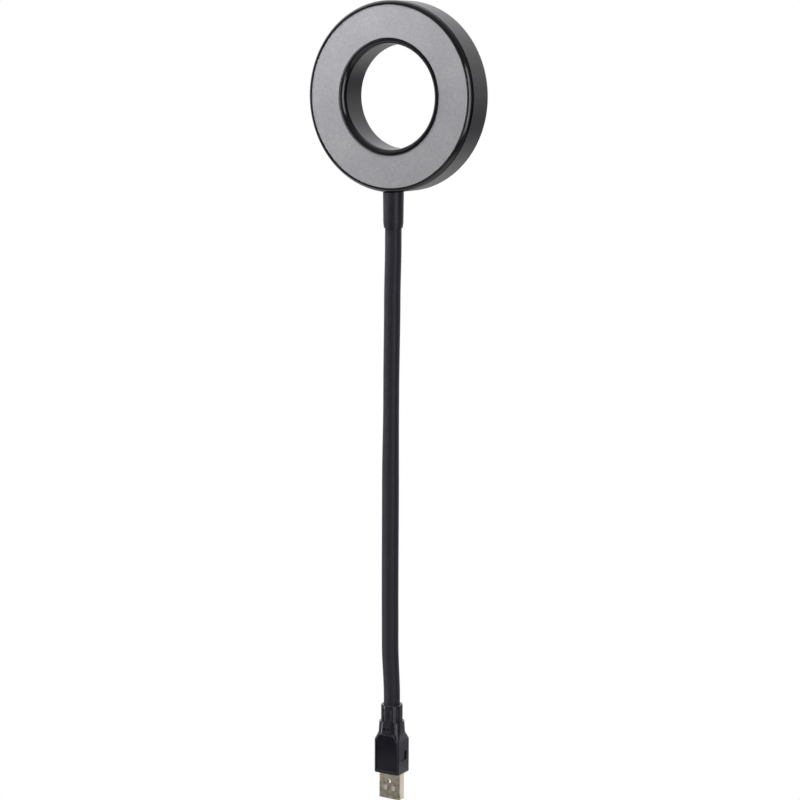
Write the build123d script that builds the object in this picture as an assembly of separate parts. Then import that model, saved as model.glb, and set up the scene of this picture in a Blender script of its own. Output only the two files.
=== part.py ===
from build123d import *
import math
import os

# A USB ring light on a flexible neck, in millimetres.
#
# The origin is the centre of the plug's seating face, where the plastic meets
# the port. +Z runs up the neck to the ring, the light shines towards -Y, and
# +X is to the right of someone who faces the light.

# Clearances
fit_gap = 0.05             # between pieces of one body that sit in each other
link_gap = 0.3             # between neck links that turn against each other
seam_gap = 0.4             # open seam between the bezels and the housing
hole_play = 0.15           # round a screw that passes through a board or tray

# Lengths up the neck's axis, from the plug's seating face
block_height = 17.0
shoulder_height = 3.6
waist_height = 5.6
relief_height = 8.6
neck_length = 235.2        # sleeve that shows between strain relief and collar
collar_length = 17.0

# Ring head; depths are measured from the head's front plane to the back
ring_radius = 45.0
ring_depth = 17.0
neck_setback = 5.5         # neck axis behind the head's front plane
hole_radius = 24.8
housing_wall = 1.8
back_edge_round = 1.2

# Bezels, which frame the frosted face
outer_rim_width = 2.1
inner_rim_width = 2.8
bezel_depth = 2.5
outer_bezel_round = 1.7
inner_bezel_round = 2.3
face_edge_round = 0.3
ledge_width = 1.3          # carries the edge of the diffuser
ledge_thickness = 0.65
skirt_wall = 0.9           # snaps inside the housing's walls
skirt_depth = 5.0

# Diffuser
diffuser_thickness = 1.2
diffuser_setback = 0.3

# Reflector tray
tray_wall = 0.8
tray_inner_flare = 0.8
tray_outer_flare = 3.0
tray_floor_depth = 5.0
tray_margin = 0.7          # between a bezel's skirt and the tray

# LED board
board_thickness = 1.0
board_margin = 0.2         # between the tray's edges and the board's
led_count = 24
led_width = 2.8
led_length = 3.5
led_thickness = 0.8
led_window_margin = 0.45
led_opening_margin = 0.5
phosphor_thickness = 0.1

# Resistors on the back of the board
resistor_count = 6
resistor_offset = 2.2      # nearer the centre than the LEDs' circle
resistor_length = 3.2
resistor_width = 1.6
resistor_thickness = 0.6

# Board screws and their posts
screw_radius = 0.95
screw_length = 8.0
screw_head_radius = 1.7
screw_head_thickness = 1.2
screw_slot_width = 0.45
screw_slot_depth = 0.5
post_radius = 2.3

# Wires
wire_radius = 0.6
wire_play = 0.15           # from the neck's middle plane to each wire
board_joint_spread = 1.5
board_joint_rise = 5.0     # from the board's lowest edge to its wire joints
lead_joint_length = 2.0

# Flexible neck
sleeve_radius = 4.0
sleeve_wall = 1.0
core_play = 0.1            # between the sleeve and the winding inside it
core_wall = 0.9
core_rib_pitch = 2.4
core_rib_depth = 0.35
hinge_count = 12
hinge_ball_margin = 2.0    # of the links' ball ends, past the sleeve's radius
first_hinge_gap = 1.2      # from the strain relief to the lowest ball
last_hinge_drop = 5.4      # of the highest hinge below the collar

# Collar between the neck and the ring
collar_top_wall = 1.05
collar_wall = 0.85
collar_mouth_wall = 0.5
collar_chamfer_height = 2.6
collar_sleeve_depth = 4.2  # how far the neck's sleeve goes into the collar
collar_floor = 4.0         # between the ring and the ferrule's cup

# Top ferrule and its nut
ferrule_wall = 0.75
ferrule_floor = 2.0
ferrule_core_depth = 5.6
stud_wall = 0.6
stud_bore_play = 0.6       # round the two wires together
stud_clearance = 2.0       # from the stud's end to the board's edge
nut_wall = 0.7
nut_thickness = 1.8
pad_height = 0.5           # flat on the housing's inner wall under the nut
pad_width = 9.0
pad_depth = 10.0

# Plug moulding
block_width = 14.0
block_thickness = 11.0
block_corner = 1.0
block_bottom_round = 0.5
shoulder_step = 0.4        # shoulder's top past the waist, across the width
shoulder_thickness_step = 0.1
shoulder_corner_step = 0.4
waist_step = 1.6           # waist past the strain relief, across the width
waist_thickness_step = 0.4
waist_flat = 2.2
relief_wall = 1.1          # strain relief outside the sleeve, across the width
relief_thickness_wall = 0.9
relief_flat = 1.4
relief_top_chamfer = 0.3
flute_count = 8
flute_radius = 0.8
flute_offset = 0.3         # of a flute's centre outside the strain relief
flute_top_land = 1.5
panel_width = 11.8
panel_bottom = 2.0
panel_corner_drop = 3.6    # from the panel's top edge to its side edges
panel_top_drop = 1.2       # of the panel's top edge below the waist
panel_top_width = 8.4
panel_sink = 0.4
grip_length = 5.2
grip_height = 4.8
grip_centre = 9.3
grip_corner = 1.0
grip_sink = 0.65
slot_width = 4.0
slot_rise = 1.4            # of the waist's slot above the shoulder
slot_height = 1.4
slot_sink = 0.7

# Inside the plug
moulding_wall = 1.2        # outer moulding round the first one, at its sides
moulding_face_wall = 1.5
inner_mould_length = 9.4
inner_mould_roof = 1.0
inner_pocket_margin = 1.4  # past the power contacts
inner_pocket_front = 1.3   # pocket wall in front of the neck axis
inner_pocket_back = 1.9
lead_hole_radius = 2.2
ferrule_flange_gap = 0.2
ferrule_flange_width = 0.65
ferrule_flange_thickness = 1.2
bottom_ferrule_length = 11.8
bottom_ferrule_wall = 0.6

# USB plug: shell, insulator and contacts
shell_width = 12.0
shell_thickness = 4.5
shell_wall = 0.3
shell_corner = 0.5
shell_reach = 13.6         # that stands out of the moulding
shell_tail = 5.5           # that is held in the moulding
shell_tip_chamfer = 0.25
window_width = 2.3
window_height = 2.5
window_spread = 2.3
window_rise = 4.4          # from the shell's tip
dimple_rise = 9.2
dimple_depth = 0.2
dimple_radius = 1.0
insulator_face = 0.1       # its contact face, in front of the plug's middle plane
insulator_setback = 0.4    # from the shell's tip
insulator_tail_gap = 0.2
contact_width = 1.0
contact_thickness = 0.25
power_contact_spread = 3.5
data_contact_spread = 1.0
power_contact_setback = 1.2
data_contact_setback = 2.2
contact_tail_length = 3.1

# Heights worked out from the sizes above
shoulder_top = block_height + shoulder_height
waist_top = shoulder_top + waist_height
relief_top = waist_top + relief_height
collar_bottom = relief_top + neck_length
ring_bottom = collar_bottom + collar_length
ring_height = ring_bottom + ring_radius
head_place = Location((0, -neck_setback, ring_height), (-90, 0, 0))

# Head
face_outer_radius = ring_radius - outer_rim_width
face_inner_radius = hole_radius + inner_rim_width
back_wall_depth = ring_depth - housing_wall
ledge_depth = diffuser_setback + diffuser_thickness + fit_gap
ledge_back_depth = ledge_depth + ledge_thickness
outer_skirt_radius = ring_radius - housing_wall - fit_gap
inner_skirt_radius = hole_radius + housing_wall + fit_gap
tray_outer_radius = outer_skirt_radius - skirt_wall - tray_margin
tray_inner_radius = inner_skirt_radius + skirt_wall + tray_margin
board_outer_radius = tray_outer_radius - tray_outer_flare - board_margin
board_inner_radius = tray_inner_radius + board_margin
board_depth = tray_floor_depth + tray_wall + fit_gap
board_back_depth = board_depth + board_thickness
board_bottom = ring_height - board_outer_radius
tray_floor_inner = tray_inner_radius + tray_wall + tray_inner_flare
tray_floor_outer = tray_outer_radius - tray_wall - tray_outer_flare
led_circle_radius = (tray_floor_inner + tray_floor_outer) / 2
led_angles = [k * 360 / led_count for k in range(led_count)]
resistor_angles = [(k + 0.5) * 360 / resistor_count for k in range(resistor_count)]
screw_angle = (led_count // 8 + 0.5) * 360 / led_count     # midway between two LEDs
screw_angles = [screw_angle, 180 - screw_angle, 180 + screw_angle, 360 - screw_angle]

# Neck
sleeve_bore_radius = sleeve_radius - sleeve_wall
core_radius = sleeve_bore_radius - core_play
core_bore_radius = core_radius - core_wall
wire_spread = wire_radius + wire_play
hinge_ball_radius = sleeve_radius + hinge_ball_margin
joint_ball_radius = hinge_ball_radius - link_gap
first_hinge = relief_top + hinge_ball_radius + first_hinge_gap
last_hinge = collar_bottom - last_hinge_drop
hinge_pitch = (last_hinge - first_hinge) / (hinge_count - 1)
hinges = [first_hinge + k * hinge_pitch for k in range(hinge_count)]

# Collar, top ferrule and nut
collar_shoulder = ring_bottom - collar_floor
collar_step = collar_bottom + collar_sleeve_depth
cup_radius = core_radius + fit_gap + ferrule_wall
cup_bottom = collar_shoulder - ferrule_floor - ferrule_core_depth
core_top = collar_shoulder - ferrule_floor - fit_gap
sleeve_top = min(collar_step, cup_bottom) - fit_gap
stud_bore_radius = 2 * wire_radius + stud_bore_play
stud_radius = stud_bore_radius + stud_wall
stud_top = board_bottom - stud_clearance
nut_flat_width = 2 * (stud_radius + nut_wall)
pad_top = ring_bottom + housing_wall + pad_height

# Plug
relief_width = 2 * (sleeve_radius + relief_wall)
relief_thickness = 2 * (sleeve_radius + relief_thickness_wall)
waist_width = relief_width + waist_step
waist_thickness = relief_thickness + waist_thickness_step
inner_mould_bottom = shell_tail + 2 * fit_gap      # just behind the shell's tail
inner_mould_top = inner_mould_bottom + inner_mould_length
inner_pocket_top = inner_mould_top - inner_mould_roof
flange_bottom = inner_mould_top + ferrule_flange_gap
bottom_ferrule_top = flange_bottom + bottom_ferrule_length
bottom_cup_radius = core_radius + fit_gap + bottom_ferrule_wall
ferrule_flange_radius = bottom_cup_radius + ferrule_flange_width
core_bottom = flange_bottom + ferrule_flange_thickness + fit_gap
sleeve_bottom = bottom_ferrule_top + 4 * fit_gap
shell_tip = -shell_reach
insulator_tail = shell_tail - insulator_tail_gap
contact_tail = insulator_tail + contact_tail_length


def ring(inner, outer, front, back):
    """A flat ring round the head's axis, between two depths."""
    depth = back - front
    shape = Cylinder(outer, depth) - Cylinder(inner, depth)
    return Pos(0, 0, front + depth / 2) * shape


def rod(radius, bottom, top):
    """A rod on the neck's axis."""
    return Pos(0, 0, (bottom + top) / 2) * Cylinder(radius, top - bottom)


def block(width, thickness, bottom, top, corner):
    """An upright bar on the neck's axis, with rounded corners."""
    return Pos(0, 0, bottom) * extrude(RectangleRounded(width, thickness, corner), top - bottom)


def box(x, y, z):
    """A box between two values on each axis."""
    centre = Pos((x[0] + x[1]) / 2, (y[0] + y[1]) / 2, (z[0] + z[1]) / 2)
    return centre * Box(x[1] - x[0], y[1] - y[0], z[1] - z[0])


def circles(shape, radius, height):
    """The circular edges of a turned piece at one radius and height."""
    found = []
    for edge in shape.edges().filter_by(GeomType.CIRCLE):
        if abs(edge.radius - radius) < 0.01 and abs(edge.arc_center.Z - height) < 0.01:
            found.append(edge)
    return found


def on_board(angles, radius):
    """Places round the head, at angles from its lowest point."""
    return [Rot(0, 0, angle) * Pos(0, radius, 0) for angle in angles]


def group(shapes):
    """Several separate solids of one node."""
    solids = []
    for shape in shapes:
        solids.extend(shape.solids())
    return Compound(children=solids)


# Ring head

def make_rear_housing():
    front = bezel_depth + seam_gap
    body = ring(ring_radius - housing_wall, ring_radius, front, ring_depth)
    body += ring(hole_radius, hole_radius + housing_wall, front, ring_depth)
    body += ring(hole_radius, ring_radius, back_wall_depth, ring_depth)
    body = fillet(circles(body, ring_radius, ring_depth), back_edge_round)
    body = fillet(circles(body, hole_radius, ring_depth), back_edge_round)
    post_front = board_back_depth + fit_gap
    for place in on_board(screw_angles, led_circle_radius):
        post = Cylinder(post_radius, ring_depth - housing_wall - post_front)
        pilot = Cylinder(screw_radius + fit_gap, screw_length)
        body += place * Pos(0, 0, (post_front + back_wall_depth) / 2) * post
        body -= place * Pos(0, 0, tray_floor_depth + screw_length / 2 + fit_gap) * pilot
    body = head_place * body
    body += box((-pad_width / 2, pad_width / 2), (front - neck_setback, pad_depth - neck_setback),
                (ring_bottom + housing_wall / 2, pad_top))
    return body - rod(stud_radius + fit_gap, ring_bottom - 1, pad_top + 1)


def nut_notch():
    """Room in the outer bezel's skirt and the tray for the nut and the stud."""
    return box((-pad_width / 2 - hole_play, pad_width / 2 + hole_play),
               (ledge_back_depth + fit_gap - neck_setback, pad_depth - neck_setback),
               (ring_bottom + housing_wall, stud_top + stud_clearance / 3))


def make_outer_bezel():
    body = ring(face_outer_radius, ring_radius, 0, bezel_depth)
    body = fillet(circles(body, ring_radius, 0), outer_bezel_round)
    body = fillet(circles(body, face_outer_radius, 0), face_edge_round)
    body += ring(face_outer_radius - ledge_width, outer_skirt_radius, ledge_depth, ledge_back_depth)
    body += ring(outer_skirt_radius - skirt_wall, outer_skirt_radius, ledge_depth, skirt_depth)
    return head_place * body - nut_notch()


def make_inner_bezel():
    body = ring(hole_radius, face_inner_radius, 0, bezel_depth)
    body = fillet(circles(body, hole_radius, 0), inner_bezel_round)
    body = fillet(circles(body, face_inner_radius, 0), face_edge_round)
    body += ring(inner_skirt_radius, face_inner_radius + ledge_width, ledge_depth, ledge_back_depth)
    body += ring(inner_skirt_radius, inner_skirt_radius + skirt_wall, ledge_depth, skirt_depth)
    return head_place * body


def make_diffuser():
    back = diffuser_setback + diffuser_thickness
    return head_place * ring(face_inner_radius + fit_gap, face_outer_radius - fit_gap,
                             diffuser_setback, back)


def make_reflector_tray():
    top = ledge_back_depth + fit_gap
    floor = tray_floor_depth
    inner = tray_inner_radius
    outer = tray_outer_radius
    profile = Polyline(
        (inner, 0, top),
        (inner + tray_wall, 0, top),
        (tray_floor_inner, 0, floor),
        (tray_floor_outer, 0, floor),
        (outer - tray_wall, 0, top),
        (outer, 0, top),
        (outer - tray_outer_flare, 0, floor + tray_wall),
        (inner + tray_inner_flare, 0, floor + tray_wall),
        close=True,
    )
    body = revolve(make_face(profile), Axis.Z)
    opening = Box(led_length + 2 * led_opening_margin, led_width + 2 * led_opening_margin, 4 * tray_wall)
    for place in on_board(led_angles, led_circle_radius):
        body -= place * Pos(0, 0, floor + tray_wall / 2) * opening
    hole = Cylinder(screw_radius + hole_play, 4 * tray_wall)
    for place in on_board(screw_angles, led_circle_radius):
        body -= place * Pos(0, 0, floor + tray_wall / 2) * hole
    return head_place * body - nut_notch()


def make_led_board():
    body = ring(board_inner_radius, board_outer_radius, board_depth, board_back_depth)
    hole = Cylinder(screw_radius + hole_play, 2 * board_thickness)
    for place in on_board(screw_angles, led_circle_radius):
        body -= place * Pos(0, 0, board_depth + board_thickness / 2) * hole
    return head_place * body


def make_led_chips():
    chip = Box(led_length, led_width, led_thickness - fit_gap)
    middle = board_depth - fit_gap - (led_thickness - fit_gap) / 2
    return group([head_place * place * Pos(0, 0, middle) * chip for place in on_board(led_angles, led_circle_radius)])


def make_led_phosphors():
    window = Box(led_length - 2 * led_window_margin, led_width - 2 * led_window_margin, phosphor_thickness)
    middle = board_depth - led_thickness - fit_gap - phosphor_thickness / 2
    return group([head_place * place * Pos(0, 0, middle) * window for place in on_board(led_angles, led_circle_radius)])


def make_resistors():
    chip = Box(resistor_length, resistor_width, resistor_thickness)
    middle = board_back_depth + fit_gap + resistor_thickness / 2
    places = on_board(resistor_angles, led_circle_radius - resistor_offset)
    return group([head_place * place * Pos(0, 0, middle) * chip for place in places])


def make_board_screws():
    head_back = tray_floor_depth - fit_gap
    head_front = head_back - screw_head_thickness
    head = Pos(0, 0, (head_front + head_back) / 2) * Cylinder(screw_head_radius, screw_head_thickness)
    shank = Pos(0, 0, head_back + screw_length / 2) * Cylinder(screw_radius, screw_length)
    slot = Box(2 * screw_head_radius * 0.6, screw_slot_width, 2 * screw_slot_depth)
    screw = head + shank - Pos(0, 0, head_front) * slot - Pos(0, 0, head_front) * Rot(0, 0, 90) * slot
    places = on_board(screw_angles, led_circle_radius)
    return group([head_place * place * screw for place in places])


def make_neck_collar():
    top = ring_bottom + housing_wall
    mouth_top = collar_bottom + collar_chamfer_height
    profile = Polyline(
        (0, 0, collar_bottom),
        (sleeve_radius + collar_mouth_wall, 0, collar_bottom),
        (sleeve_radius + collar_wall, 0, mouth_top),
        (sleeve_radius + collar_top_wall, 0, top),
        (0, 0, top),
        close=True,
    )
    body = revolve(make_face(profile), Axis.Z)
    body -= rod(sleeve_radius + fit_gap, collar_bottom - 1, collar_step)
    body -= rod(cup_radius + fit_gap, collar_step - 1, collar_shoulder)
    body -= rod(stud_radius + fit_gap, collar_shoulder - 1, top + 1)
    saddle = head_place * Cylinder(ring_radius + fit_gap, 4 * ring_depth)
    return body - saddle


def make_neck_top_ferrule():
    floor_bottom = collar_shoulder - ferrule_floor
    body = rod(cup_radius, cup_bottom, collar_shoulder - fit_gap) + rod(stud_radius, floor_bottom, stud_top)
    body -= rod(core_radius + fit_gap, cup_bottom - 1, floor_bottom)
    return body - rod(stud_bore_radius, floor_bottom - 1, stud_top + 1)


def make_ferrule_nut():
    hexagon = RegularPolygon(nut_flat_width / 2, 6, major_radius=False)
    body = Pos(0, 0, pad_top + fit_gap) * extrude(hexagon, nut_thickness)
    return body - rod(stud_radius + fit_gap, pad_top - 1, stud_top + 1)


# Flexible neck

def link_end(inner, outer, radius, hinge):
    """The end of a link: an arc about a hinge, from the tube's inner wall to its outer one."""
    points = []
    for r in (inner, (inner + outer) / 2, outer):
        points.append((r, 0, hinge - math.sqrt(radius ** 2 - r ** 2)))
    return ThreePointArc(*points)


def turned_link(inner, outer, k, bottom, top, wall):
    """Link k of the neck, turned about its axis; wall gives the points of its outer wall."""
    if k == 0:
        lower = Line((inner, 0, bottom), (outer, 0, bottom))
    else:
        lower = link_end(inner, outer, joint_ball_radius, hinges[k - 1])
    if k == hinge_count:
        upper = Line((inner, 0, top), (outer, 0, top))
    else:
        upper = link_end(inner, outer, hinge_ball_radius, hinges[k])
    start = lower @ 1
    end = upper @ 1
    outside = Polyline(start, *wall(start.Z, end.Z), end)
    inside = Line(lower @ 0, upper @ 0)
    return revolve(make_face([lower, outside, upper, inside]), Axis.Z)


def smooth_wall(low, high):
    return []


def ribbed_wall(low, high):
    """Grooves between the turns of the neck's steel winding."""
    points = []
    count = int((high - low) / core_rib_pitch)
    first = (low + high - (count - 1) * core_rib_pitch) / 2
    for n in range(count):
        height = first + n * core_rib_pitch
        points.append((core_radius, 0, height - core_rib_depth))
        points.append((core_radius - core_rib_depth, 0, height))
        points.append((core_radius, 0, height + core_rib_depth))
    return points


def make_sleeve(k):
    return turned_link(sleeve_bore_radius, sleeve_radius, k, sleeve_bottom, sleeve_top, smooth_wall)


def make_core(k):
    return turned_link(core_bore_radius, core_radius, k, core_bottom, core_top, ribbed_wall)


def board_joint(side):
    """Where a wire's upper end meets the board's back."""
    return (side * board_joint_spread, board_back_depth + fit_gap - neck_setback, board_bottom + board_joint_rise)


def make_wire(side):
    """One wire from a power contact, up the neck, to the back of the board."""
    joint_x, joint_y, joint_z = board_joint(side)
    board_y = joint_y + wire_radius + 2 * fit_gap
    contact_y = wire_radius - insulator_face
    power = side * power_contact_spread
    spread = side * wire_spread
    neck_start = flange_bottom + 2 * ferrule_flange_thickness
    neck_end = stud_top - 3 * wire_radius
    spread_run = neck_start - contact_tail
    upright = ((0, 0, 1), (0, 0, 1))
    plug_bend = Spline(
        (power, contact_y, contact_tail + fit_gap),
        (power, contact_y, contact_tail + 0.12 * spread_run),
        (0.66 * power, 0.5 * contact_y, contact_tail + 0.43 * spread_run),
        (1.15 * spread, 0, contact_tail + 0.74 * spread_run),
        (spread, 0, neck_start),
        tangents=upright,
    )
    head_bend = Spline(
        (spread, 0, neck_end),
        (spread, wire_radius / 3, stud_top - wire_radius * 2 / 3),
        (1.3 * spread, board_y - wire_play, board_bottom - wire_radius),
        (joint_x, board_y, board_bottom + 2.5 * wire_radius),
        (joint_x, board_y, joint_z - lead_joint_length / 2 - fit_gap),
        tangents=upright,
    )
    path = Wire([plug_bend, Line((spread, 0, neck_start), (spread, 0, neck_end)), head_bend])
    return sweep(Plane(path @ 0, z_dir=path % 0) * Circle(wire_radius), path=path)


def make_board_solder():
    joints = []
    for side in (-1, 1):
        x, y, z = board_joint(side)
        blob = Pos(x, y, z) * scale(Sphere(1), (wire_radius * 1.6, wire_radius * 2.2, lead_joint_length / 2))
        joints.append(blob & box((x - 3, x + 3), (y, y + 3), (z - 3, z + 3)))
    return group(joints)


# Plug

def loft_between(low, high, bottom, top):
    """A tapered stage of the plug between two rounded rectangles."""
    lower = Pos(0, 0, bottom) * RectangleRounded(*low)
    upper = Pos(0, 0, top) * RectangleRounded(*high)
    return loft([lower, upper])


def plug_outside():
    base = (block_width, block_thickness, block_corner)
    waist_corner = (waist_thickness - waist_flat) / 2
    waist = (waist_width, waist_thickness, waist_corner)
    shoulder = (waist_width + shoulder_step, waist_thickness + shoulder_thickness_step,
                waist_corner - shoulder_corner_step)
    body = block(block_width, block_thickness, 0, block_height, block_corner)
    body = fillet(body.faces().sort_by(Axis.Z)[0].edges(), block_bottom_round)
    body += loft_between(base, shoulder, block_height, shoulder_top)
    body += loft_between(shoulder, waist, shoulder_top, waist_top)
    relief_corner = (relief_thickness - relief_flat) / 2
    relief = block(relief_width, relief_thickness, waist_top, relief_top, relief_corner)
    relief = chamfer(relief.faces().sort_by(Axis.Z)[-1].edges(), relief_top_chamfer)
    flute_circle = (relief_width + relief_thickness) / 4 + flute_offset
    for k in range(flute_count):
        angle = 180 / flute_count + k * 360 / flute_count
        flute = Pos(flute_circle, 0, 0) * rod(flute_radius, waist_top, relief_top - flute_top_land)
        relief -= Rot(0, 0, angle) * flute
    return body + relief


def panel_cutter():
    """The sunk panel on the block's broad face, with cut top corners."""
    half = panel_width / 2
    half_top = panel_top_width / 2
    panel_top = shoulder_top - panel_top_drop
    outline = Polyline(
        (-half, 0, panel_bottom),
        (half, 0, panel_bottom),
        (half, 0, panel_top - panel_corner_drop),
        (half_top, 0, panel_top),
        (-half_top, 0, panel_top),
        (-half, 0, panel_top - panel_corner_drop),
        close=True,
    )
    cutter = extrude(make_face(outline), panel_sink + 1, dir=(0, 1, 0))
    return Pos(0, -block_thickness / 2 - 1, 0) * cutter


def make_plug_overmould():
    body = plug_outside()
    slot = box((-slot_width / 2, slot_width / 2), (-waist_thickness / 2 - 1, slot_sink - waist_thickness / 2),
               (shoulder_top + slot_rise, shoulder_top + slot_rise + slot_height))
    grip_face = Plane((block_width / 2 + 1, 0, grip_centre), x_dir=(0, 1, 0), z_dir=(-1, 0, 0))
    grip = extrude(grip_face * RectangleRounded(grip_length, grip_height, grip_corner), grip_sink + 1)
    for turn in (0, 180):
        body -= Rot(0, 0, turn) * panel_cutter()
        body -= Rot(0, 0, turn) * slot
        body -= Rot(0, 0, turn) * grip
    body -= block(shell_width + 2 * fit_gap, shell_thickness + 2 * fit_gap, -1, inner_mould_bottom, shell_corner)
    body -= block(block_width - 2 * moulding_wall, block_thickness - 2 * moulding_face_wall,
                  inner_mould_bottom - fit_gap, inner_mould_top + fit_gap, block_corner)
    body -= rod(ferrule_flange_radius + fit_gap, inner_mould_top, core_bottom)
    body -= rod(bottom_cup_radius + fit_gap, flange_bottom, sleeve_bottom - fit_gap)
    return body - rod(sleeve_radius + fit_gap, sleeve_bottom - 2 * fit_gap, relief_top + 1)


def make_plug_inner_mould():
    body = block(block_width - 2 * moulding_wall - 2 * fit_gap,
                 block_thickness - 2 * moulding_face_wall - 2 * fit_gap,
                 inner_mould_bottom, inner_mould_top, block_corner)
    half_pocket = power_contact_spread + inner_pocket_margin
    body -= box((-half_pocket, half_pocket), (-inner_pocket_front, inner_pocket_back),
                (inner_mould_bottom - 1, inner_pocket_top))
    return body - rod(lead_hole_radius, inner_pocket_top - 1, inner_mould_top + 1)


def make_neck_bottom_ferrule():
    flange_top = flange_bottom + ferrule_flange_thickness
    body = rod(ferrule_flange_radius, flange_bottom, flange_top)
    body += rod(bottom_cup_radius, flange_bottom, bottom_ferrule_top)
    body -= rod(core_radius + fit_gap, flange_top, bottom_ferrule_top + 1)
    return body - rod(core_bore_radius, flange_bottom - 1, flange_top + 1)


def make_usb_shell():
    body = block(shell_width, shell_thickness, shell_tip, shell_tail, shell_corner)
    body = chamfer(body.faces().sort_by(Axis.Z)[0].edges(), shell_tip_chamfer)
    body -= block(shell_width - 2 * shell_wall, shell_thickness - 2 * shell_wall, shell_tip - 1, shell_tail + 1,
                  shell_corner - shell_wall / 2)
    window_bottom = shell_tip + window_rise
    for side in (-1, 1):
        x = side * window_spread
        body -= box((x - window_width / 2, x + window_width / 2), (-shell_thickness, shell_thickness),
                    (window_bottom, window_bottom + window_height))
    press = (dimple_radius ** 2 + dimple_depth ** 2) / (2 * dimple_depth)
    centre = Pos(0, -shell_thickness / 2 - press + dimple_depth, shell_tip + dimple_rise)
    return body - centre * Sphere(press)


def contact_slots(clearance):
    """The four contact strips, grown by a clearance."""
    strips = []
    half = contact_width / 2 + clearance
    kinds = ((power_contact_spread, power_contact_setback), (data_contact_spread, data_contact_setback))
    for side in (-1, 1):
        for spread, setback in kinds:
            x = side * spread
            strips.append(box((x - half, x + half),
                              (-insulator_face - contact_thickness - clearance, -insulator_face + clearance),
                              (shell_tip + setback - clearance, contact_tail + clearance)))
    return strips


def make_usb_insulator():
    margin = 2 * (shell_wall + fit_gap)
    bottom = shell_tip + insulator_setback
    body = block(shell_width - margin, shell_thickness - margin, bottom, insulator_tail, shell_corner)
    body -= box((-shell_width, shell_width), (fit_gap - insulator_face, shell_thickness),
                (bottom - 1, insulator_tail + 1))
    for strip in contact_slots(fit_gap):
        body -= strip
    return body


def make_usb_contacts():
    return group(contact_slots(0))


def make_contact_solder():
    joints = []
    for side in (-1, 1):
        x = side * power_contact_spread
        middle = contact_tail - lead_joint_length / 2
        blob = Pos(x, -insulator_face, middle) * scale(
            Sphere(1), (contact_width * 0.7, wire_radius * 2, lead_joint_length / 2))
        joints.append(blob & box((x - 2, x + 2), (fit_gap - insulator_face, 3 - insulator_face),
                                 (middle - 2, middle + 2)))
    return group(joints)


pieces = {
    "rear_housing": make_rear_housing(),
    "outer_bezel": make_outer_bezel(),
    "inner_bezel": make_inner_bezel(),
    "diffuser": make_diffuser(),
    "reflector_tray": make_reflector_tray(),
    "led_board": make_led_board(),
    "led_chips": make_led_chips(),
    "led_phosphors": make_led_phosphors(),
    "current_resistors": make_resistors(),
    "board_screws": make_board_screws(),
    "board_solder_joints": make_board_solder(),
    "neck_collar": make_neck_collar(),
    "neck_top_ferrule": make_neck_top_ferrule(),
    "ferrule_nut": make_ferrule_nut(),
    "red_wire": make_wire(1),
    "black_wire": make_wire(-1),
    "plug_overmould": make_plug_overmould(),
    "plug_inner_mould": make_plug_inner_mould(),
    "neck_bottom_ferrule": make_neck_bottom_ferrule(),
    "usb_shell": make_usb_shell(),
    "usb_insulator": make_usb_insulator(),
    "usb_contacts": make_usb_contacts(),
    "contact_solder_joints": make_contact_solder(),
}
for k in range(hinge_count + 1):
    pieces[f"neck_sleeve_{k:02d}"] = make_sleeve(k)
    pieces[f"neck_core_{k:02d}"] = make_core(k)

os.makedirs("parts", exist_ok=True)
for name, piece in pieces.items():
    export_step(piece, f"parts/{name}.step")
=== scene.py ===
import math

import bmesh
import bpy
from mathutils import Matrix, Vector


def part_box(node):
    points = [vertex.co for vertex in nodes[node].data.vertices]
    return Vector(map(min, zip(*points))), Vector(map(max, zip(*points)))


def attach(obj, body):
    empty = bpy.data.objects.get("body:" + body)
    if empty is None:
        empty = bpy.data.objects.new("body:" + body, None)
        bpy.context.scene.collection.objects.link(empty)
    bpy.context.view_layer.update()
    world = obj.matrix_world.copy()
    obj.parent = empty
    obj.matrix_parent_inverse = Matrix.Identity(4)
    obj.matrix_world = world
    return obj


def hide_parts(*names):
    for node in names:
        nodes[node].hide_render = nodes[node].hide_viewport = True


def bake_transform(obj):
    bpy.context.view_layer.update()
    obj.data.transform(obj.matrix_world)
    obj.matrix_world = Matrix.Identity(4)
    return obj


# A USB ring light on a flexible neck: the light is off and stands upright in
# front of a white backdrop. Sizes are in millimetres, and mm turns them into
# metres. +Z runs up the neck, and the light shines towards -Y.

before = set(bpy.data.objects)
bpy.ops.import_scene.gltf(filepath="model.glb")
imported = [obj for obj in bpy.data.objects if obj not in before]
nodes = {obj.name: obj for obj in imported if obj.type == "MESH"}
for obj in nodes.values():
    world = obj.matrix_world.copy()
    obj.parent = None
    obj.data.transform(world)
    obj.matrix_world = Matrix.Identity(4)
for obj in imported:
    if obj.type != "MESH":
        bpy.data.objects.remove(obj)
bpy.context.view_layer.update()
mm = 0.001

# ------------------------------------------------------------ what the CAD gives


def heights(node):
    """The lowest and highest point of a CAD node, in millimetres."""
    low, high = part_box(node)
    return low[2] / mm, high[2] / mm


hinge_count = 12
first_hinge_rise = 7.2      # of the lowest hinge above the strain relief
last_hinge_drop = 5.4       # of the highest hinge below the collar
relief_top = heights("plug_overmould")[1]
collar_bottom = heights("neck_collar")[0]
first_hinge = relief_top + first_hinge_rise
last_hinge = collar_bottom - last_hinge_drop
hinge_pitch = (last_hinge - first_hinge) / (hinge_count - 1)
hinges = [first_hinge + k * hinge_pitch for k in range(hinge_count)]
sleeve_bottom = heights("neck_sleeve_00")[0]
sleeve_top = heights("neck_sleeve_12")[1]
core_bottom = heights("neck_core_00")[0]
core_top = heights("neck_core_12")[1]

panel_half_width = 6.0      # of the plug's sunk panels
panel_top = 19.4
panel_sink = 0.4
panel_tolerance = 0.08      # of the floor's depth, for what counts as panel
panel_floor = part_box("plug_overmould")[1][1] / mm - panel_sink

# ------------------------------------------------------------ the photograph's view

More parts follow.
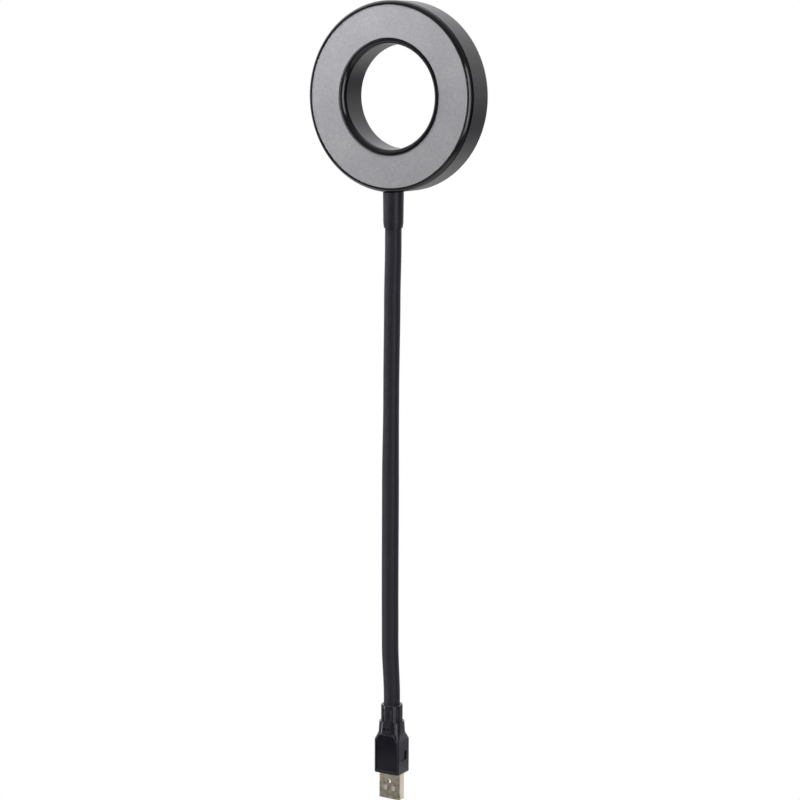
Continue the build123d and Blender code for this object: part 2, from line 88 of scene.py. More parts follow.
view_turn = 31.44           # degrees round the neck, from straight in front
view_distance = 1059.1      # from the neck's axis
view_height = 356.7         # above the origin
view_aim = 0.156            # degrees to the right of the neck
view_pitch = 9.118          # degrees downwards
view_roll = 0.2             # degrees
view_lens = 99.86           # focal length, for a frame this wide:
view_frame = 36
view_clip = 10              # nearest distance that is drawn

turn = math.radians(view_turn)
view_right = Vector((math.cos(turn), math.sin(turn), 0))
view_front = Vector((math.sin(turn), -math.cos(turn), 0))


def make_camera():
    data = bpy.data.cameras.new("camera")
    data.sensor_width = view_frame
    data.lens = view_lens
    camera = bpy.data.objects.new("camera", data)
    camera.location = view_front * view_distance * mm + Vector((0, 0, view_height * mm))
    camera.rotation_euler = (math.radians(90 - view_pitch), math.radians(-view_roll),
                             math.radians(view_turn - view_aim))
    data.clip_start = view_clip * mm
    bpy.context.scene.collection.objects.link(camera)
    bpy.context.scene.camera = camera


# ------------------------------------------------------------ materials


def linear(text):
    """An sRGB hex colour as linear red, green, blue and alpha."""
    values = [int(text[k:k + 2], 16) / 255 for k in (1, 3, 5)]
    return [v / 12.92 if v <= 0.04045 else ((v + 0.055) / 1.055) ** 2.4 for v in values] + [1]


def add(tree, kind, inputs=None, **settings):
    """One node, its settings, and its inputs as values or as other nodes' outputs."""
    node = tree.nodes.new(kind)
    for name, value in settings.items():
        setattr(node, name, value)
    for name, value in (inputs or {}).items():
        if isinstance(value, bpy.types.NodeSocket):
            tree.links.new(value, node.inputs[name])
        else:
            node.inputs[name].default_value = value
    return node


def maths(tree, operation, *values):
    """The result of one operation on values or sockets."""
    return add(tree, "ShaderNodeMath", dict(enumerate(values)), operation=operation).outputs[0]


def stretched(tree, place, scales):
    """Coordinates times one scale along each axis. One below 1 draws a pattern out along it."""
    return add(tree, "ShaderNodeVectorMath", {0: place, 1: scales}, operation="MULTIPLY").outputs[0]


def noise(tree, place, size, detail, roughness=0.5):
    """A share from 0 to 1 in random patches of about so many millimetres."""
    return add(tree, "ShaderNodeTexNoise", {"Vector": place, "Scale": 1 / size, "Detail": detail,
                                            "Roughness": roughness}).outputs[0]


def ranged(tree, share, low, high, start=0, end=1):
    """A value from low to high, while the share runs from start to end."""
    return add(tree, "ShaderNodeMapRange", {0: share, 1: start, 2: end, 3: low, 4: high}).outputs[0]


def two_tone(tree, share, first, second, blend_type="MIX"):
    """A share of the way from one tone to another. A tone is an sRGB hex colour or a socket."""
    first, second = [linear(tone) if isinstance(tone, str) else tone for tone in (first, second)]
    return add(tree, "ShaderNodeMix", {0: share, 6: first, 7: second}, data_type="RGBA",
               blend_type=blend_type).outputs[2]


def grey_ramp(tree, share, stops):
    """A grey level that follows a share from 0 to 1 through (share, level) stops."""
    ramp = add(tree, "ShaderNodeValToRGB", {0: share})
    levels = ramp.color_ramp.elements
    for k, (position, value) in ((0, stops[0]), (1, stops[-1])):
        levels[k].position, levels[k].color = position, (value, value, value, 1)
    for position, value in stops[1:-1]:
        levels.new(position).color = (value, value, value, 1)
    return ramp.outputs[0]


def blank(name):
    """An empty material and its pattern coordinates, in millimetres of the object."""
    material = bpy.data.materials.new(name)
    material.use_nodes = True
    tree = material.node_tree
    tree.nodes.clear()
    place = add(tree, "ShaderNodeTexCoord").outputs["Object"]
    return material, tree, stretched(tree, place, (1 / mm, 1 / mm, 1 / mm))


def finish(tree, inputs, height, depth):
    """The shader and the output, over a relief of so many millimetres."""
    relief = add(tree, "ShaderNodeBump", {"Height": height, "Distance": depth * mm, "Strength": 1})
    shader = add(tree, "ShaderNodeBsdfPrincipled", {**inputs, "Normal": relief.outputs[0]})
    add(tree, "ShaderNodeOutputMaterial", {"Surface": shader.outputs[0]})


def moulded_abs():
    """ABS, injection moulded in a spark-eroded mould: satin black that goes
    grey where it reflects the backdrop at a low angle, over a fine grain."""
    material, tree, place = blank("moulded_abs")
    grain = noise(tree, place, 0.5, 3)
    flow = noise(tree, place, 14, 2)
    tone = two_tone(tree, flow, "#1b1922", "#23212b")
    gloss = ranged(tree, grain, 0.30, 0.42)
    finish(tree, {"Base Color": tone, "Roughness": gloss, "IOR": 1.5, "Specular IOR Level": 0.27},
           grain, 0.008)
    return material


def matt_abs():
    """ABS from a mould with a coarser spark-eroded skin, on the collar: charcoal
    with a broad, dull highlight. The skin's 0.1 mm pits are drawn at 0.5 mm."""
    material, tree, place = blank("matt_abs")
    pits = noise(tree, place, 0.5, 3)
    flow = noise(tree, place, 8, 2)
    tone = two_tone(tree, flow, "#302e37", "#3a3841")
    gloss = ranged(tree, pits, 0.34, 0.44)
    finish(tree, {"Base Color": tone, "Roughness": gloss, "IOR": 1.5, "Specular IOR Level": 0.2},
           pits, 0.01)
    return material


def polished_abs():
    """The same ABS from a polished mould: near-black rims with thin, sharp
    highlights and a few faint rub marks."""
    material, tree, place = blank("polished_abs")
    rubs = noise(tree, place, 3, 4)
    gloss = ranged(tree, rubs, 0.12, 0.2, start=0.35, end=0.7)
    tone = two_tone(tree, rubs, "#0b0b0d", "#121215")
    finish(tree, {"Base Color": tone, "Roughness": gloss, "IOR": 1.5, "Specular IOR Level": 0.5},
           rubs, 0.004)
    return material


def frosted_polycarbonate():
    """Polycarbonate with a light-scattering filler, moulded with a matt grain:
    an even mid grey, finely speckled, while the light behind it is off. The
    grain of 0.3 mm is drawn at 0.7 mm, so that it shows."""
    material, tree, place = blank("frosted_polycarbonate")
    grain = noise(tree, place, 0.7, 2, roughness=0.7)
    cloud = noise(tree, place, 16, 3)
    speck = ranged(tree, grain, 0, 1, start=0.3, end=0.7)
    fine = two_tone(tree, speck, "#9e9ea1", "#b1b1b4")
    tone = two_tone(tree, cloud, "#dcdce0", "#ffffff")
    both = two_tone(tree, 1.0, fine, tone, blend_type="MULTIPLY")
    finish(tree, {"Base Color": both, "Roughness": 0.55, "IOR": 1.5}, grain, 0.02)
    return material


def extruded_pvc():
    """Plasticised PVC, extruded over the winding: soft matt black with a slight
    violet cast, faint lines along its length and a broad dull highlight."""
    material, tree, place = blank("extruded_pvc")
    along = stretched(tree, place, (1, 1, 0.02))
    lines = noise(tree, along, 0.8, 2)
    bloom = noise(tree, place, 9, 3)
    tone = two_tone(tree, bloom, "#38363f", "#413f49")
    gloss = ranged(tree, lines, 0.34, 0.44)
    finish(tree, {"Base Color": tone, "Roughness": gloss, "IOR": 1.5, "Specular IOR Level": 0.12},
           lines, 0.01)
    return material


def moulded_pvc():
    """Plasticised PVC, injection moulded round the plug: satin blue-black, with
    rounded edges that catch the light and a fine mould grain. The mould was
    polished where it makes the sunk panels, which are glossier. Their colour is
    painted darker and bluer, as painted shade for the dark room that they reflect."""
    material, tree, place = blank("moulded_pvc")
    along = add(tree, "ShaderNodeSeparateXYZ", {0: place}).outputs
    across = maths(tree, "ABSOLUTE", along[0])
    inside = maths(tree, "LESS_THAN", across, panel_half_width)
    out = maths(tree, "ABSOLUTE", along[1])
    floor = maths(tree, "COMPARE", out, panel_floor, panel_tolerance)
    below = maths(tree, "LESS_THAN", along[2], panel_top)
    panel = maths(tree, "MULTIPLY", inside, floor)
    panel = maths(tree, "MULTIPLY", panel, below)
    grain = noise(tree, place, 0.5, 3)
    flow = noise(tree, place, 5, 2)
    tone = two_tone(tree, flow, "#2b2a33", "#33323c")
    # painted shade: the sunk panels get a darker, bluer colour in place of the dark room that their
    # polished floors reflect
    tone = two_tone(tree, panel, tone, "#1a1724")
    gloss = ranged(tree, grain, 0.15, 0.22)
    gloss = add(tree, "ShaderNodeMix", {0: panel, 2: gloss, 3: 0.15}).outputs[0]
    finish(tree, {"Base Color": tone, "Roughness": gloss, "IOR": 1.5, "Specular IOR Level": 0.34},
           grain, 0.006)
    return material


def nickel_plated_steel():
    """Steel strip, rolled, folded and nickel plated: a warm grey mirror blurred
    by rolling lines along the strip, with rub marks from plugging in."""
    material, tree, place = blank("nickel_plated_steel")
    across = stretched(tree, place, (0.05, 1, 1))
    rolling = noise(tree, across, 0.5, 3)
    rubs = noise(tree, place, 2.2, 4)
    tone = two_tone(tree, rubs, "#b9b09f", "#e5dbc7")
    gloss = ranged(tree, rubs, 0.16, 0.24, start=0.3, end=0.7)
    finish(tree, {"Base Color": tone, "Metallic": 1, "Roughness": gloss}, rolling, 0.003)
    return material


def zinc_plated_steel():
    """Turned steel, zinc plated and passivated: bluish bright metal with the
    tool's fine rings, drawn 0.5 mm apart."""
    material, tree, place = blank("zinc_plated_steel")
    rings = add(tree, "ShaderNodeTexWave", {"Vector": place, "Scale": 1 / 1.5, "Distortion": 0.6},
                wave_type="BANDS", bands_direction="Z")
    spangle = noise(tree, place, 1.2, 2)
    tone = two_tone(tree, spangle, "#a9aeb4", "#c8ccd0")
    gloss = ranged(tree, spangle, 0.25, 0.4)
    finish(tree, {"Base Color": tone, "Metallic": 1, "Roughness": gloss}, rings.outputs[0], 0.01)
    return material


def drawn_spring_steel():
    """Drawn spring wire, oiled and wound: dark metal with draw lines."""
    material, tree, place = blank("drawn_spring_steel")
    oil = noise(tree, place, 2.5, 4)
    tone = two_tone(tree, oil, "#55534f", "#7d7b76")
    gloss = ranged(tree, oil, 0.28, 0.45)
    finish(tree, {"Base Color": tone, "Metallic": 1, "Roughness": gloss}, oil, 0.01)
    return material


def gold_plated_brass():
    """Brass strip, stamped and flash-gold plated: yellow metal with light wear
    lines where the port's springs slide."""
    material, tree, place = blank("gold_plated_brass")
    along = stretched(tree, place, (1, 1, 0.1))
    wear = noise(tree, along, 0.4, 3)
    tone = two_tone(tree, wear, "#c79a45", "#e6c273")
    gloss = ranged(tree, wear, 0.18, 0.32)
    finish(tree, {"Base Color": tone, "Metallic": 1, "Roughness": gloss}, wear, 0.004)
    return material


def reflowed_solder():
    """Tin solder, melted and set: soft silvery skin with a slightly frosted,
    wavy surface."""
    material, tree, place = blank("reflowed_solder")
    skin = noise(tree, place, 0.6, 3)
    tone = two_tone(tree, skin, "#a6a7a8", "#cfd0d1")
    gloss = ranged(tree, skin, 0.22, 0.42)
    finish(tree, {"Base Color": tone, "Metallic": 1, "Roughness": gloss}, skin, 0.03)
    return material


def white_polypropylene():
    """Polypropylene with white pigment, moulded: milky off-white, soft sheen
    and faint flow clouds."""
    material, tree, place = blank("white_polypropylene")
    flow = noise(tree, place, 6, 3)
    grain = noise(tree, place, 0.6, 2)
    tone = two_tone(tree, flow, "#dfdeda", "#eeede9")
    gloss = ranged(tree, grain, 0.38, 0.5)
    finish(tree, {"Base Color": tone, "Roughness": gloss, "IOR": 1.49,
                  "Subsurface Weight": 0.1, "Subsurface Scale": 1 * mm},
           grain, 0.008)
    return material


def glass_filled_polyester():
    """Polybutylene terephthalate with glass fibre, moulded: dull, warm grey-white
    with faint streaks of fibre along the flow."""
    material, tree, place = blank("glass_filled_polyester")
    along = stretched(tree, place, (1, 1, 0.15))
    fibre = noise(tree, along, 0.5, 3)
    tone = two_tone(tree, fibre, "#cfc9c4", "#e2dcd6")
    gloss = ranged(tree, fibre, 0.45, 0.6)
    finish(tree, {"Base Color": tone, "Roughness": gloss, "IOR": 1.55}, fibre, 0.006)
    return material


def white_solder_mask():
    """Glass-epoxy board under screened white solder mask: even white with the
    weave of the glass cloth, drawn at 3 mm a thread, just showing through."""
    material, tree, place = blank("white_solder_mask")
    warp, weft = [add(tree, "ShaderNodeTexWave", {"Vector": place, "Scale": 1 / 10},
                      bands_direction=direction).outputs[1] for direction in "XZ"]
    cloth = maths(tree, "MULTIPLY", warp, weft)
    tone = two_tone(tree, cloth, "#e4e5e2", "#f0f1ee")
    finish(tree, {"Base Color": tone, "Roughness": 0.35, "IOR": 1.52}, cloth, 0.01)
    return material


def led_case_resin():
    """White polyphthalamide case of a surface-mount LED: matt, very white."""
    material, tree, place = blank("led_case_resin")
    grain = noise(tree, place, 0.4, 2)
    tone = two_tone(tree, grain, "#e6e5df", "#f2f1ec")
    finish(tree, {"Base Color": tone, "Roughness": 0.5, "IOR": 1.55}, grain, 0.006)
    return material


def phosphor_silicone():
    """Silicone filled with yellow phosphor, cast in the LED's cup: deep yellow,
    glossy, with tiny grains."""
    material, tree, place = blank("phosphor_silicone")
    grains = add(tree, "ShaderNodeTexVoronoi", {"Vector": place, "Scale": 1 / 0.25})
    tone = two_tone(tree, grains.outputs[0], "#e8cf2c", "#d9b81c")
    finish(tree, {"Base Color": tone, "Roughness": 0.18, "IOR": 1.41}, grains.outputs[0], 0.005)
    return material


def resistor_glaze():
    """Thick-film resistor under black overglaze: smooth, glassy black."""
    material, tree, place = blank("resistor_glaze")
    glaze = noise(tree, place, 0.8, 2)
    tone = two_tone(tree, glaze, "#141416", "#202022")
    finish(tree, {"Base Color": tone, "Roughness": 0.2, "IOR": 1.5}, glaze, 0.01)
    return material


def wire_pvc(name, dark, light):
    """PVC insulation, extruded on a thin strand: glossy, slightly waxy colour
    with faint lines along the wire."""
    material, tree, place = blank(name)
    along = stretched(tree, place, (1, 1, 0.05))
    lines = noise(tree, along, 0.3, 2)
    tone = two_tone(tree, lines, dark, light)
    finish(tree, {"Base Color": tone, "Roughness": 0.35, "IOR": 1.52}, lines, 0.005)
    return material


finishes = {
    "moulded_abs": moulded_abs(),
    "matt_abs": matt_abs(),
    "polished_abs": polished_abs(),
    "frosted_polycarbonate": frosted_polycarbonate(),
    "extruded_pvc": extruded_pvc(),
    "moulded_pvc": moulded_pvc(),
    "nickel_plated_steel": nickel_plated_steel(),
    "zinc_plated_steel": zinc_plated_steel(),
    "drawn_spring_steel": drawn_spring_steel(),
    "gold_plated_brass": gold_plated_brass(),
    "reflowed_solder": reflowed_solder(),
    "white_polypropylene": white_polypropylene(),
    "glass_filled_polyester": glass_filled_polyester(),
    "white_solder_mask": white_solder_mask(),
    "led_case_resin": led_case_resin(),
    "phosphor_silicone": phosphor_silicone(),
    "resistor_glaze": resistor_glaze(),
    "red_wire_pvc": wire_pvc("red_wire_pvc", "#8f1414", "#ad1c1a"),
    "black_wire_pvc": wire_pvc("black_wire_pvc", "#101012", "#1a1a1c"),
}

finish_of = {
    "rear_housing": "moulded_abs",
    "neck_collar": "matt_abs",
    "outer_bezel": "polished_abs",
    "inner_bezel": "polished_abs",
    "diffuser": "frosted_polycarbonate",
    "plug_overmould": "moulded_pvc",
    "plug_inner_mould": "white_polypropylene",
    "reflector_tray": "white_polypropylene",
    "usb_insulator": "glass_filled_polyester",
    "usb_shell": "nickel_plated_steel",
    "usb_contacts": "gold_plated_brass",
    "contact_solder_joints": "reflowed_solder",
    "board_solder_joints": "reflowed_solder",
    "led_board": "white_solder_mask",
    "led_chips": "led_case_resin",
    "led_phosphors": "phosphor_silicone",
    "current_resistors": "resistor_glaze",
    "board_screws": "zinc_plated_steel",
    "ferrule_nut": "zinc_plated_steel",
    "neck_top_ferrule": "zinc_plated_steel",
    "neck_bottom_ferrule": "zinc_plated_steel",
    "red_wire": "red_wire_pvc",
    "black_wire": "black_wire_pvc",
}


def dress_nodes():
    for name, node in nodes.items():
        if name in finish_of:
            finish_name = finish_of[name]
        elif name.startswith("neck_sleeve"):
            finish_name = "extruded_pvc"
        else:
            finish_name = "drawn_spring_steel"
        for slot in node.material_slots:
            slot.material = finishes[finish_name]


# ------------------------------------------------------------ rims of the ring

# Radii are from the head's axis, and depths are from the front of the rims.
head_height = 332.0
head_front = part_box("outer_bezel")[0][1] / mm
ring_radius = heights("rear_housing")[1] - head_height
hole_radius = 24.8
outer_face_radius = 42.9    # of the grey face, at the outer rim
inner_face_radius = 27.6
outer_skirt_radius = 43.15
inner_skirt_radius = 26.65
skirt_wall = 0.9
skirt_back = 5.0
ledge_width = 1.3           # of the ledge that carries the diffuser
ledge_front = 1.55
ledge_back = 2.2
seam_depth = 1.75           # of the seam behind each rim
seam_sink = 0.6             # of the seam's floor below the rim's edge
rim_back = 2.5              # of the seam's floor
rolled_edge = 0.25          # radius, beside the grey face
rolled_steps = 5
# How far in from the rim's edge, and how deep, the chamfer runs
chamfer = [(1.35, 0), (1.25, 0.02), (1.15, 0.08), (1.0, 0.21), (0.8, 0.4), (0.6, 0.61),
           (0.4, 0.85), (0.25, 1.07), (0.12, 1.31), (0, seam_depth)]
steps_round = 288
nut_opening = 8             # degrees either side of the lowest point, left free for the nut
rim_sharp_angle = 35        # degrees


def turned(name, profile, nodes_covered=(), opening=0):
    """A ring turned round the head's axis from (radius, depth) points, closed
    or with an opening at its lowest point."""
    span = 360 - 2 * opening
    outline = bmesh.new()
    rows = []
    for k in range(steps_round + (1 if opening else 0)):
        angle = math.radians(opening + span * k / steps_round)
        row = []
        for radius, depth in profile:
            row.append(outline.verts.new(Vector((radius * math.sin(angle), head_front + depth,
                                                 head_height - radius * math.cos(angle))) * mm))
        rows.append(row)
    following = rows[1:] if opening else rows[1:] + rows[:1]
    for here, there in zip(rows, following):
        for k in range(len(profile)):
            n = (k + 1) % len(profile)
            outline.faces.new([here[k], here[n], there[n], there[k]])
    if opening:
        outline.faces.new(rows[0][::-1])
        outline.faces.new(rows[-1])
    bmesh.ops.recalc_face_normals(outline, faces=outline.faces)
    mesh = bpy.data.meshes.new(name)
    outline.to_mesh(mesh)
    outline.free()
    mesh.shade_smooth()
    mesh.set_sharp_from_angle(angle=math.radians(rim_sharp_angle))
    mesh.materials.append(finishes["polished_abs"])
    piece = bpy.data.objects.new(name, mesh)
    bpy.context.scene.collection.objects.link(piece)
    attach(piece, "head")
    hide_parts(*nodes_covered)


def rim_profile(face_radius, wall_radius, skirt_radius):
    """A rim with a rolled edge at the grey face, a flat front, a chamfer that
    rounds over to the seam, and the seam's floor."""
    out = 1 if wall_radius > face_radius else -1
    points = [(face_radius, seam_depth), (face_radius, rolled_edge)]
    for k in range(1, rolled_steps):
        angle = math.pi / 2 * k / rolled_steps
        points.append((face_radius + out * rolled_edge * (1 - math.cos(angle)),
                       rolled_edge * (1 - math.sin(angle))))
    for inset, depth in chamfer:
        points.append((wall_radius - out * inset, depth))
    seam_floor = wall_radius - out * seam_sink
    return points + [(seam_floor, seam_depth), (seam_floor, rim_back), (skirt_radius, rim_back),
                     (skirt_radius, seam_depth)]


def skirt_profile(face_radius, skirt_radius):
    """The skirt that snaps into the housing, and the diffuser's ledge."""
    out = 1 if skirt_radius > face_radius else -1
    wall, ledge = skirt_radius - out * skirt_wall, face_radius - out * ledge_width
    return [(skirt_radius, seam_depth), (skirt_radius, skirt_back), (wall, skirt_back),
            (wall, ledge_back), (ledge, ledge_back), (ledge, ledge_front),
            (face_radius, ledge_front), (face_radius, seam_depth)]


def make_rims():
    turned("outer_rim", rim_profile(outer_face_radius, ring_radius, outer_skirt_radius),
           ["outer_bezel"])
    turned("inner_rim", rim_profile(inner_face_radius, hole_radius, inner_skirt_radius),
           ["inner_bezel"])
    turned("outer_rim_skirt", skirt_profile(outer_face_radius, outer_skirt_radius),
           opening=nut_opening)
    turned("inner_rim_skirt", skirt_profile(inner_face_radius, inner_skirt_radius))


edge_widths = {"rear_housing": 0.25, "plug_overmould": 0.22, "neck_collar": 0.2}
edge_segments = 3
edge_angle = 35             # degrees, above which an edge is rounded


def round_moulded_edges():
    """The small rounding that a mould leaves on an edge, which catches the light."""
    for name, width in edge_widths.items():
        bevel = nodes[name].modifiers.new("mould_rounding", "BEVEL")
        bevel.width = width * mm
        bevel.segments = edge_segments
        bevel.limit_method = "ANGLE"
        bevel.angle_limit = math.radians(edge_angle)
        bevel.harden_normals = True


# ------------------------------------------------------------ flexible neck

sleeve_bore = 3.0
sleeve_step = 1.0           # between one row of points up the neck and the next
sleeve_sides = 72
core_radius = 2.9
core_bore = 2.0
core_step = 0.4
core_sides = 32
rib_pitch = 2.4             # of the winding, drawn three times its real pitch
rib_depth = 0.35
tube_sharp_angle = 50       # degrees

wire_radius = 0.6
wire_spread = 0.75          # of each wire from the neck's line
wire_step = 2.0
wire_sides = 14
wire_neck_rise = 9.1        # of the wires' straight length above their lowest point
wire_neck_drop = 7.6        # and below their highest
curve_steps = 5             # from one corner of a wire's curve to the next
# The corners of a wire's curve in the plug, as x, y and the height above its
# lowest point, and of its curve in the head, as x, and y and z from its
# farthest back and highest point.
wire_foot = [(3.5, 0.5, 0), (3.5, 0.5, 1.1), (2.31, 0.25, 3.9), (1.15 * wire_spread, 0, 6.7)]
wire_top = [(1.3 * wire_spread, -0.15, -4.6), (1.5, 0, -2.5), (1.5, 0, 0)]

# The sleeve's radius and the neck's lean to the photograph's left, at heights
# up the neck: it was bent and straightened again before it was photographed.
sleeve_radii = [(27, 4.0), (45, 4.03), (62, 4.12), (100, 4.14), (145, 4.16), (185, 3.88),
                (232, 3.98), (275, 4.0)]
neck_leans = [(38, 0), (66, 0.95), (95, 1.05), (150, 1.0), (190, 0.78), (235, 0.4), (262, 0)]


def between(points, height):
    """A value that runs smoothly through (height, value) points."""
    if height <= points[0][0]:
        return points[0][1]
    for low, high in zip(points, points[1:]):
        if height <= high[0]:
            t = (height - low[0]) / (high[0] - low[0])
            return low[1] + (high[1] - low[1]) * t * t * (3 - 2 * t)
    return points[-1][1]


def neck_line(height, spread=0.0):
    """A point of the neck's line, or of a wire beside it."""
    return Vector((spread, 0, height)) - view_right * between(neck_leans, height)


def tube(name, points, radii, bore, sides, finish_name):
    """A tube round a line of points, with an outer radius at each point. A bore
    of nothing gives a solid rod."""
    outline = bmesh.new()
    walls = [radii] + ([[bore] * len(points)] if bore else [])
    rings = []
    for wall in walls:
        rows = []
        for k, point in enumerate(points):
            ahead = (points[min(k + 1, len(points) - 1)] - points[max(k - 1, 0)]).normalized()
            side = Vector((1, 0, 0))
            side = (side - ahead * side.dot(ahead)).normalized()
            other = ahead.cross(side)
            row = []
            for s in range(sides):
                angle = 2 * math.pi * s / sides
                offset = (side * math.cos(angle) + other * math.sin(angle)) * wall[k]
                row.append(outline.verts.new((point + offset) * mm))
            rows.append(row)
        rings.append(rows)
    for index, rows in enumerate(rings):
        for low, high in zip(rows, rows[1:]):
            for s in range(sides):
                corners = [low[s], low[(s + 1) % sides], high[(s + 1) % sides], high[s]]
                outline.faces.new(corners if index == 0 else corners[::-1])
    for end in (0, -1):
        for s in range(sides):
            n = (s + 1) % sides
            if bore:
                corners = [rings[0][end][s], rings[1][end][s], rings[1][end][n], rings[0][end][n]]
                outline.faces.new(corners if end == 0 else corners[::-1])
        if not bore:
            outline.faces.new(rings[0][end][::-1] if end == 0 else rings[0][end])
    mesh = bpy.data.meshes.new(name)
    outline.normal_update()
    outline.to_mesh(mesh)
    outline.free()
    mesh.shade_smooth()
    mesh.set_sharp_from_angle(angle=math.radians(tube_sharp_angle))
    mesh.materials.append(finishes[finish_name])
    piece = bpy.data.objects.new(name, mesh)
    bpy.context.scene.collection.objects.link(piece)
    return piece


def stretch(k, bottom, top):
    """The lowest and highest point of the length round hinge k."""
    low = bottom if k == 0 else (hinges[k - 1] + hinges[k]) / 2
    high = top if k == hinge_count - 1 else (hinges[k] + hinges[k + 1]) / 2
    return low, high


def bend_here(piece):
    """Bakes the piece's placement into its mesh. The piece is the length round one hinge, from the middle
    of one link to the middle of the next.
    """
    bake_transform(piece)


def steps(low, high, step):
    """Evenly spaced heights, about one step apart."""
    count = max(2, round((high - low) / step))
    return [low + (high - low) * k / count for k in range(count + 1)]


def make_sleeve():
    for k in range(hinge_count):
        levels = steps(*stretch(k, sleeve_bottom, sleeve_top), sleeve_step)
        piece = tube(f"neck_tube_{k + 1:02d}", [neck_line(z) for z in levels],
                     [between(sleeve_radii, z) for z in levels], sleeve_bore, sleeve_sides, "extruded_pvc")
        covered = [f"neck_sleeve_{k + 1:02d}"] + (["neck_sleeve_00"] if k == 0 else [])
        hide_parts(*covered)
        bend_here(piece)


def make_winding():
    for k in range(hinge_count):
        levels = steps(*stretch(k, core_bottom, core_top), core_step)
        radii = [core_radius - rib_depth * (0.5 + 0.5 * math.cos(2 * math.pi * z / rib_pitch))
                 for z in levels]
        piece = tube(f"neck_winding_{k + 1:02d}", [neck_line(z) for z in levels], radii, core_bore,
                     core_sides, "drawn_spring_steel")
        covered = [f"neck_core_{k + 1:02d}"] + (["neck_core_00"] if k == 0 else [])
        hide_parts(*covered)
        bend_here(piece)


def smooth_line(corners, count):
    """Points on a smooth line through corner points."""
    ends = [corners[0] * 2 - corners[1]] + corners + [corners[-1] * 2 - corners[-2]]
    line = []
    for k in range(1, len(ends) - 2):
        a, b, c, d = ends[k - 1:k + 3]
        for s in range(count):
            t = s / count
            line.append(0.5 * (2 * b + (c - a) * t + (2 * a - 5 * b + 4 * c - d) * t * t
                               + (3 * b - a - 3 * c + d) * t * t * t))
    return line + [corners[-1]]


def make_wires():
    """Each wire runs from a power contact in the plug, up the neck, to the board's back."""
    for name, side, slot in (("red_wire", 1, "red_insulation"), ("black_wire", -1, "black_insulation")):
        low, high = heights(name)
        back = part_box(name)[1][1] / mm - wire_radius
        foot = [Vector((side * x, y, low + z)) for x, y, z in wire_foot]
        top = [Vector((side * x, back + y, high + z)) for x, y, z in wire_top]
        for k in range(hinge_count):
            start, end = stretch(k, low + wire_neck_rise, high - wire_neck_drop)
            line = [neck_line(z, side * wire_spread) for z in steps(start, end, wire_step)]
            if k == 0:
                line = smooth_line(foot + line[:2], curve_steps)[:-1] + line[1:]
            if k == hinge_count - 1:
                line = line[:-1] + smooth_line(line[-2:] + top, curve_steps)[curve_steps:]
            piece = tube(f"{name}_{k + 1:02d}", line, [wire_radius] * len(line), 0, wire_sides,
                         f"{name}_pvc")
            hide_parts(name)
            bend_here(piece)


# ------------------------------------------------------------ studio

# Stops of the room's level, from straight behind the light to the side that the
# photograph is taken from, and of what it is multiplied by, from straight below
# to straight above.
room_levels = [(0.3, 1), (0.475, 0.2), (0.73, 0.16), (0.98, 0.05)]
sky_levels = [(0, 1.6), (0.2, 1.5), (0.35, 0.36), (0.5, 1.1), (0.8, 1.8), (1, 1.9)]

floor_height = -250
floor_radius = 450
floor_fade = (250, 440)     # from the neck's axis, where the floor turns into backdrop
floor_sides = 96


def softbox(name, turn_degrees, rise_degrees, distance, width, height, power, middle_height=0.27,
            spread_degrees=180, lights=True, mirrored=True):
    """A soft light, turned round the neck from straight in front towards +X, and
    its grid, which narrows its spread. It points at a height on the neck's axis.
    One that lights nothing is a card that only shows as a reflection. Lengths
    are in metres, and power is in watts."""
    data = bpy.data.lights.new(name, "AREA")
    data.shape = "RECTANGLE"
    data.size, data.size_y, data.energy = width, height, power
    data.spread = math.radians(spread_degrees)
    light = bpy.data.objects.new(name, data)
    angle, rise = math.radians(turn_degrees), math.radians(rise_degrees)
    middle = Vector((0, 0, middle_height))
    light.location = middle + distance * Vector((math.sin(angle) * math.cos(rise),
                                                 -math.cos(angle) * math.cos(rise), math.sin(rise)))
    light.rotation_euler = (middle - light.location).to_track_quat("-Z", "Y").to_euler()
    light.visible_diffuse = lights
    light.visible_glossy = mirrored
    bpy.context.scene.collection.objects.link(light)


def make_world():
    """A white backdrop behind the light, and a dimmer room on the side that the
    photograph is taken from."""
    world = bpy.data.worlds.new("studio")
    world.use_nodes = True
    tree = world.node_tree
    tree.nodes.clear()
    direction = add(tree, "ShaderNodeTexCoord").outputs["Generated"]
    facing = add(tree, "ShaderNodeVectorMath", {0: direction, 1: view_front}, operation="DOT_PRODUCT")
    share = ranged(tree, facing.outputs["Value"], 0, 1, start=-1)
    room = grey_ramp(tree, share, room_levels)
    rise = add(tree, "ShaderNodeSeparateXYZ", {0: direction})
    share = ranged(tree, rise.outputs[2], 0, 1, start=-1)
    room = maths(tree, "MULTIPLY", room, grey_ramp(tree, share, sky_levels))
    seen = add(tree, "ShaderNodeLightPath").outputs
    plain = maths(tree, "MAXIMUM", seen["Is Camera Ray"], seen["Is Transmission Ray"])
    level = add(tree, "ShaderNodeMix", {0: plain, 2: room, 3: 1.0})
    light = add(tree, "ShaderNodeBackground", {"Color": (1, 1, 1, 1), "Strength": level.outputs[0]})
    add(tree, "ShaderNodeOutputWorld", {"Surface": light.outputs[0]})
    bpy.context.scene.world = world


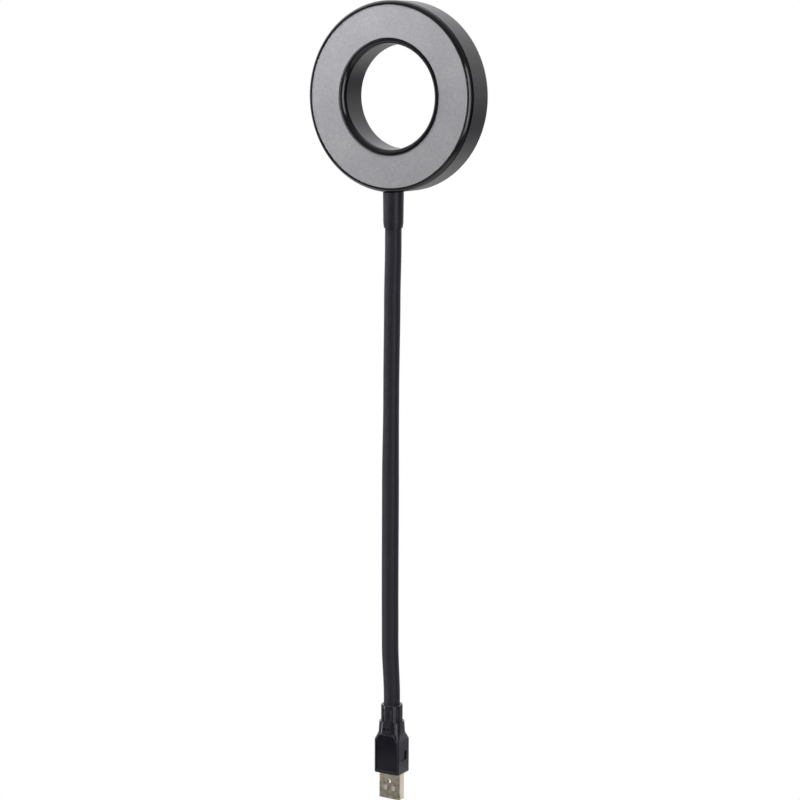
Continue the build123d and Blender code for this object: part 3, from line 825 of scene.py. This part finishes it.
def make_floor():
    """A pale floor below the plug, which fades into the white backdrop. Its
    underside is clear, so that the light can be seen from below."""
    material, tree, place = blank("painted_floor")
    radius = add(tree, "ShaderNodeVectorMath", {0: place}, operation="LENGTH")
    fade = add(tree, "ShaderNodeMapRange", {0: radius.outputs["Value"], 1: floor_fade[0], 2: floor_fade[1]},
               interpolation_type="SMOOTHSTEP")
    mottle = noise(tree, place, 60, 3)
    tone = two_tone(tree, mottle, "#e9e9e9", "#efefef")
    paint = add(tree, "ShaderNodeBsdfPrincipled", {"Base Color": tone, "Roughness": 0.7})
    seen = add(tree, "ShaderNodeLightPath").outputs
    plain = maths(tree, "MAXIMUM", seen["Is Camera Ray"], seen["Is Glossy Ray"])
    plain = maths(tree, "MAXIMUM", plain, seen["Is Transmission Ray"])
    share = maths(tree, "MULTIPLY", plain, fade.outputs[0])
    white = add(tree, "ShaderNodeEmission", {"Color": (1, 1, 1, 1), "Strength": 1})
    blend = add(tree, "ShaderNodeMixShader", {0: share, 1: paint.outputs[0], 2: white.outputs[0]})
    below = add(tree, "ShaderNodeNewGeometry").outputs["Backfacing"]
    clear = add(tree, "ShaderNodeBsdfTransparent")
    blend = add(tree, "ShaderNodeMixShader", {0: below, 1: blend.outputs[0], 2: clear.outputs[0]})
    add(tree, "ShaderNodeOutputMaterial", {"Surface": blend.outputs[0]})
    outline = bmesh.new()
    bmesh.ops.create_circle(outline, cap_ends=True, segments=floor_sides, radius=floor_radius * mm)
    mesh = bpy.data.meshes.new("floor")
    outline.to_mesh(mesh)
    outline.free()
    mesh.materials.append(material)
    floor = bpy.data.objects.new("floor", mesh)
    floor.location = (0, 0, floor_height * mm)
    bpy.context.scene.collection.objects.link(floor)


def make_studio():
    make_world()
    make_floor()
    # In order: turn and rise in degrees, distance, width, height and power.
    softbox("front_softbox", -15, 25, 0.8, 0.3, 0.3, 0.08, middle_height=0.34, spread_degrees=60,
            mirrored=False)
    softbox("left_strip", -46, 0, 1.0, 0.12, 0.95, 1.7, middle_height=0.325, lights=False)
    softbox("right_softbox", 57, 0, 1.0, 0.12, 0.9, 1.3, middle_height=0.33)
    softbox("top_softbox", -56, 60, 0.33, 0.2, 0.2, 1.9, mirrored=False)
    softbox("rim_card", 68, 0, 1.0, 0.35, 1.1, 4.0, lights=False)
    softbox("left_card", -46, 0, 1.0, 0.3, 0.18, 1.1, middle_height=-0.23, lights=False)
    softbox("right_card", 44, 0, 1.0, 0.3, 0.18, 0.52, middle_height=-0.23, lights=False)
    softbox("plug_card", -16, 38, 0.3, 0.18, 0.16, 0.27, middle_height=0.01, spread_degrees=60,
            lights=False)
    softbox("panel_card", -31, -18, 0.1, 0.05, 0.012, 0.0006, middle_height=0.005, lights=False)
    softbox("shell_card", 148, -17, 0.1, 0.08, 0.02, 0.0025, middle_height=-0.009, lights=False)
    bpy.context.scene.view_settings.view_transform = "Standard"


make_camera()
dress_nodes()
make_rims()
round_moulded_edges()
make_sleeve()
make_winding()
make_wires()
make_studio()

bpy.context.view_layer.update()
